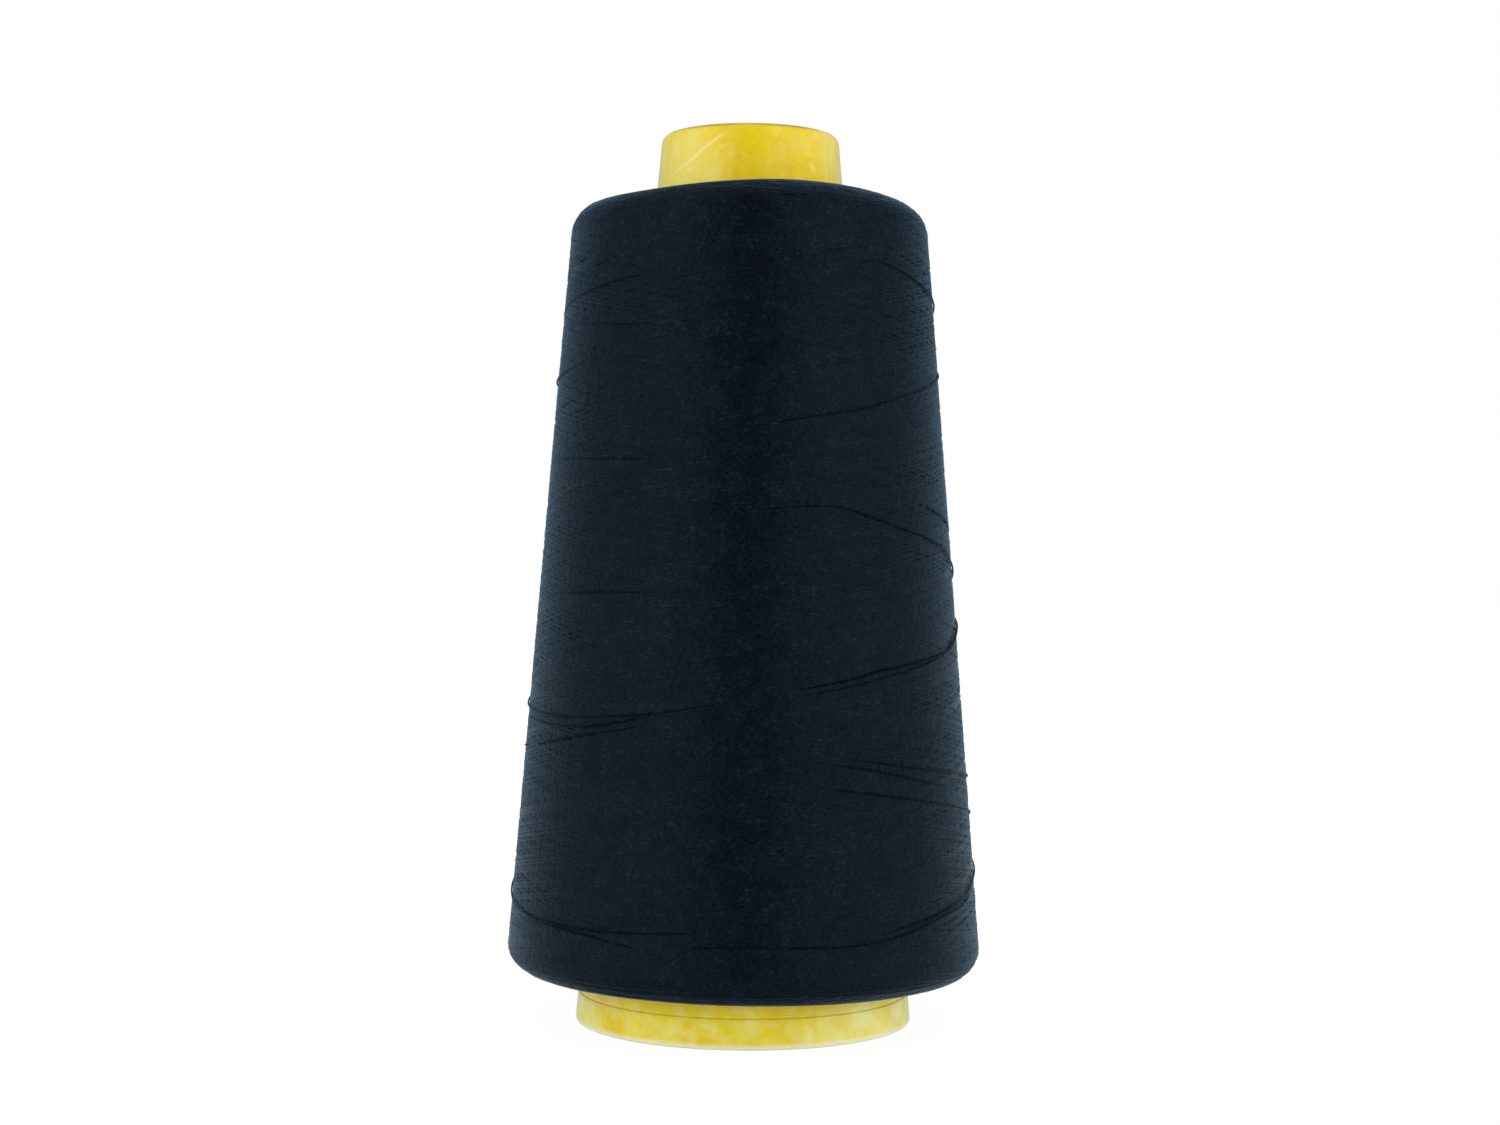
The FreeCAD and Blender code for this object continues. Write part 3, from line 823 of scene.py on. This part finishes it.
hairRows = [hairRow(chance.uniform(hairs["margin"], outlineEnd - hairs["margin"]),
                    chance.uniform(0, 360), chance.uniform(*hairs["reach"]),
                    chance.uniform(0, hairs["stand"]), hairs["root"])
            for _ in range(hairs["count"])]

# Single hairs of polyester are a paler copy of the thread, as painted light for the light that
# passes through them
litHairPolyester = spunPolyester("polyesterHair", "#19232d", "#2d3a48", 0.3)
hairMesh = threadMesh("threadHairs", hairRows, hairs["thick"])
addPiece("threadHairs", hairMesh, litHairPolyester)

lintRows = [hairRow(chance.uniform(lint["margin"], outlineEnd - lint["margin"]),
                    chance.uniform(0, 360), chance.uniform(*lint["reach"]), lint["stand"], 0)
            for _ in range(lint["count"])]
lintRows += [hairRow(sideRun(height), angle, lint["placedReach"], lint["placedStand"], 0)
             for angle, height in lint["placed"]]
lintRows += [dashRow(*dash) for dash in lint["dashes"]]

# Cotton lint is a bluish grey that just stands out from the thread
cottonLint = spunPolyester("cottonLint", "#18222b", "#303c47", 0.2)
lintMesh = threadMesh("lintFlecks", lintRows, lint["thick"])
addPiece("lintFlecks", lintMesh, cottonLint)
print("hairs and lint laid")


# Stage, in metres: a white floor that keeps the shadow, and a white world behind it.
# Lamps are (place, size, power). Ranges run over the direction of a ray, from -1 for straight
# to the camera's side up to 1 for straight away from it
stage = {"floorSize": 8, "floorColour": "#f4f4f4", "floorShade": 0.15, "floorGlow": 1.09,
         "floorInGloss": "#a9c1cf", "fill": 0.8, "wallBehind": "#8bacc1",
         "gapRange": (-0.99, -0.89, 0, 1), "behindRange": (-0.6, 0.15, 0, 1),
         "lamps": {"leftLamp": ((-0.72, -0.1, 0.17), 0.5, 1.6),
                   "rightLamp": ((0.72, -0.1, 0.17), 0.5, 2.0),
                   "frontLamp": ((0, -0.95, 0.1), 0.5, 3.4),
                   "backLamp": ((0, 0.95, 0.1), 0.5, 2.1)}}
white = (1, 1, 1, 1)
floorMesh = bmesh.new()
bmesh.ops.create_grid(floorMesh, x_segments=1, y_segments=1, size=stage["floorSize"] / 2)
floorPiece = bpy.data.objects.new("floor", finishMesh(floorMesh, "floor", smooth=False))
bpy.context.scene.collection.objects.link(floorPiece)

# White paper: keeps a faint shadow under the object and is otherwise as bright as the world
floorPaper, tree = newMaterial("whitePaper")
path = addNode(tree, "ShaderNodeLightPath")
share = addNode(tree, "ShaderNodeMath", {"operation": "MULTIPLY"},
                {0: seenDirectly(tree, path), 1: 1 - stage["floorShade"]})
paper = addNode(tree, "ShaderNodeBsdfDiffuse", {}, {"Color": linearColour(stage["floorColour"])})
shine = addNode(tree, "ShaderNodeMix", {"data_type": "RGBA"}, {
    0: path.outputs["Is Glossy Ray"], 6: white, 7: linearColour(stage["floorInGloss"])})
glow = addNode(tree, "ShaderNodeEmission", {},
               {"Color": shine.outputs[2], "Strength": stage["floorGlow"]})
both = addNode(tree, "ShaderNodeMixShader", {},
               {0: share.outputs[0], 1: paper.outputs[0], 2: glow.outputs[0]})
addNode(tree, "ShaderNodeOutputMaterial", {}, {"Surface": both.outputs[0]})
floorPiece.data.materials.append(floorPaper)

world = bpy.data.worlds.new("studio")
bpy.context.scene.world = world
world.use_nodes = True
tree = world.node_tree
tree.nodes.clear()
path = addNode(tree, "ShaderNodeLightPath")

# The camera's side of the studio is an unlit gap between two white walls, and gloss shows it
direction = addNode(tree, "ShaderNodeTexCoord").outputs["Generated"]
flat = addNode(tree, "ShaderNodeVectorMath", {"operation": "MULTIPLY"},
               {0: direction, 1: (1, 1, 0)})
level = addNode(tree, "ShaderNodeVectorMath", {"operation": "NORMALIZE"}, {0: flat.outputs[0]})
facing = addNode(tree, "ShaderNodeSeparateXYZ", {}, {0: level.outputs[0]})
gap = addNode(tree, "ShaderNodeMapRange", {"interpolation_type": "SMOOTHSTEP"},
              ranged(facing.outputs[1], stage["gapRange"]))
wall = addNode(tree, "ShaderNodeMath", {"operation": "MAXIMUM"},
               {0: gap.outputs[0], 1: path.outputs["Is Camera Ray"]})

# Behind the object gloss sees a cooler, dimmer wall
behind = addNode(tree, "ShaderNodeMapRange", {"interpolation_type": "SMOOTHSTEP"},
                 ranged(facing.outputs[1], stage["behindRange"]))
unseen = addNode(tree, "ShaderNodeMath", {"operation": "SUBTRACT"},
                 {0: behind.outputs[0], 1: path.outputs["Is Camera Ray"]})
wallColour = addNode(tree, "ShaderNodeMix", {"data_type": "RGBA"},
                     {0: unseen.outputs[0], 6: white, 7: linearColour(stage["wallBehind"])})
fill = addNode(tree, "ShaderNodeBackground", {}, {"Color": white, "Strength": stage["fill"]})
backdrop = addNode(tree, "ShaderNodeBackground", {},
                   {"Color": wallColour.outputs[2], "Strength": wall.outputs[0]})
both = addNode(tree, "ShaderNodeMixShader", {},
               {0: seenDirectly(tree, path), 1: fill.outputs[0], 2: backdrop.outputs[0]})
addNode(tree, "ShaderNodeOutputWorld", {}, {"Surface": both.outputs[0]})

# Soft lamps all round, which neither the camera nor gloss sees
for name, (place, size, power) in stage["lamps"].items():
    lampData = bpy.data.lights.new(name, "AREA")
    lampData.shape = "SQUARE"
    lampData.size = size
    lampData.energy = power
    lamp = bpy.data.objects.new(name, lampData)
    lamp.location = place
    aim = Vector((0, 0, core["height"] / 2 * mm)) - lamp.location
    lamp.rotation_euler = aim.to_track_quat("-Z", "Y").to_euler()
    lamp.visible_glossy = False
    lamp.visible_camera = False
    bpy.context.scene.collection.objects.link(lamp)

bpy.context.scene.view_settings.view_transform = "Standard"
print("stage and lamps set")
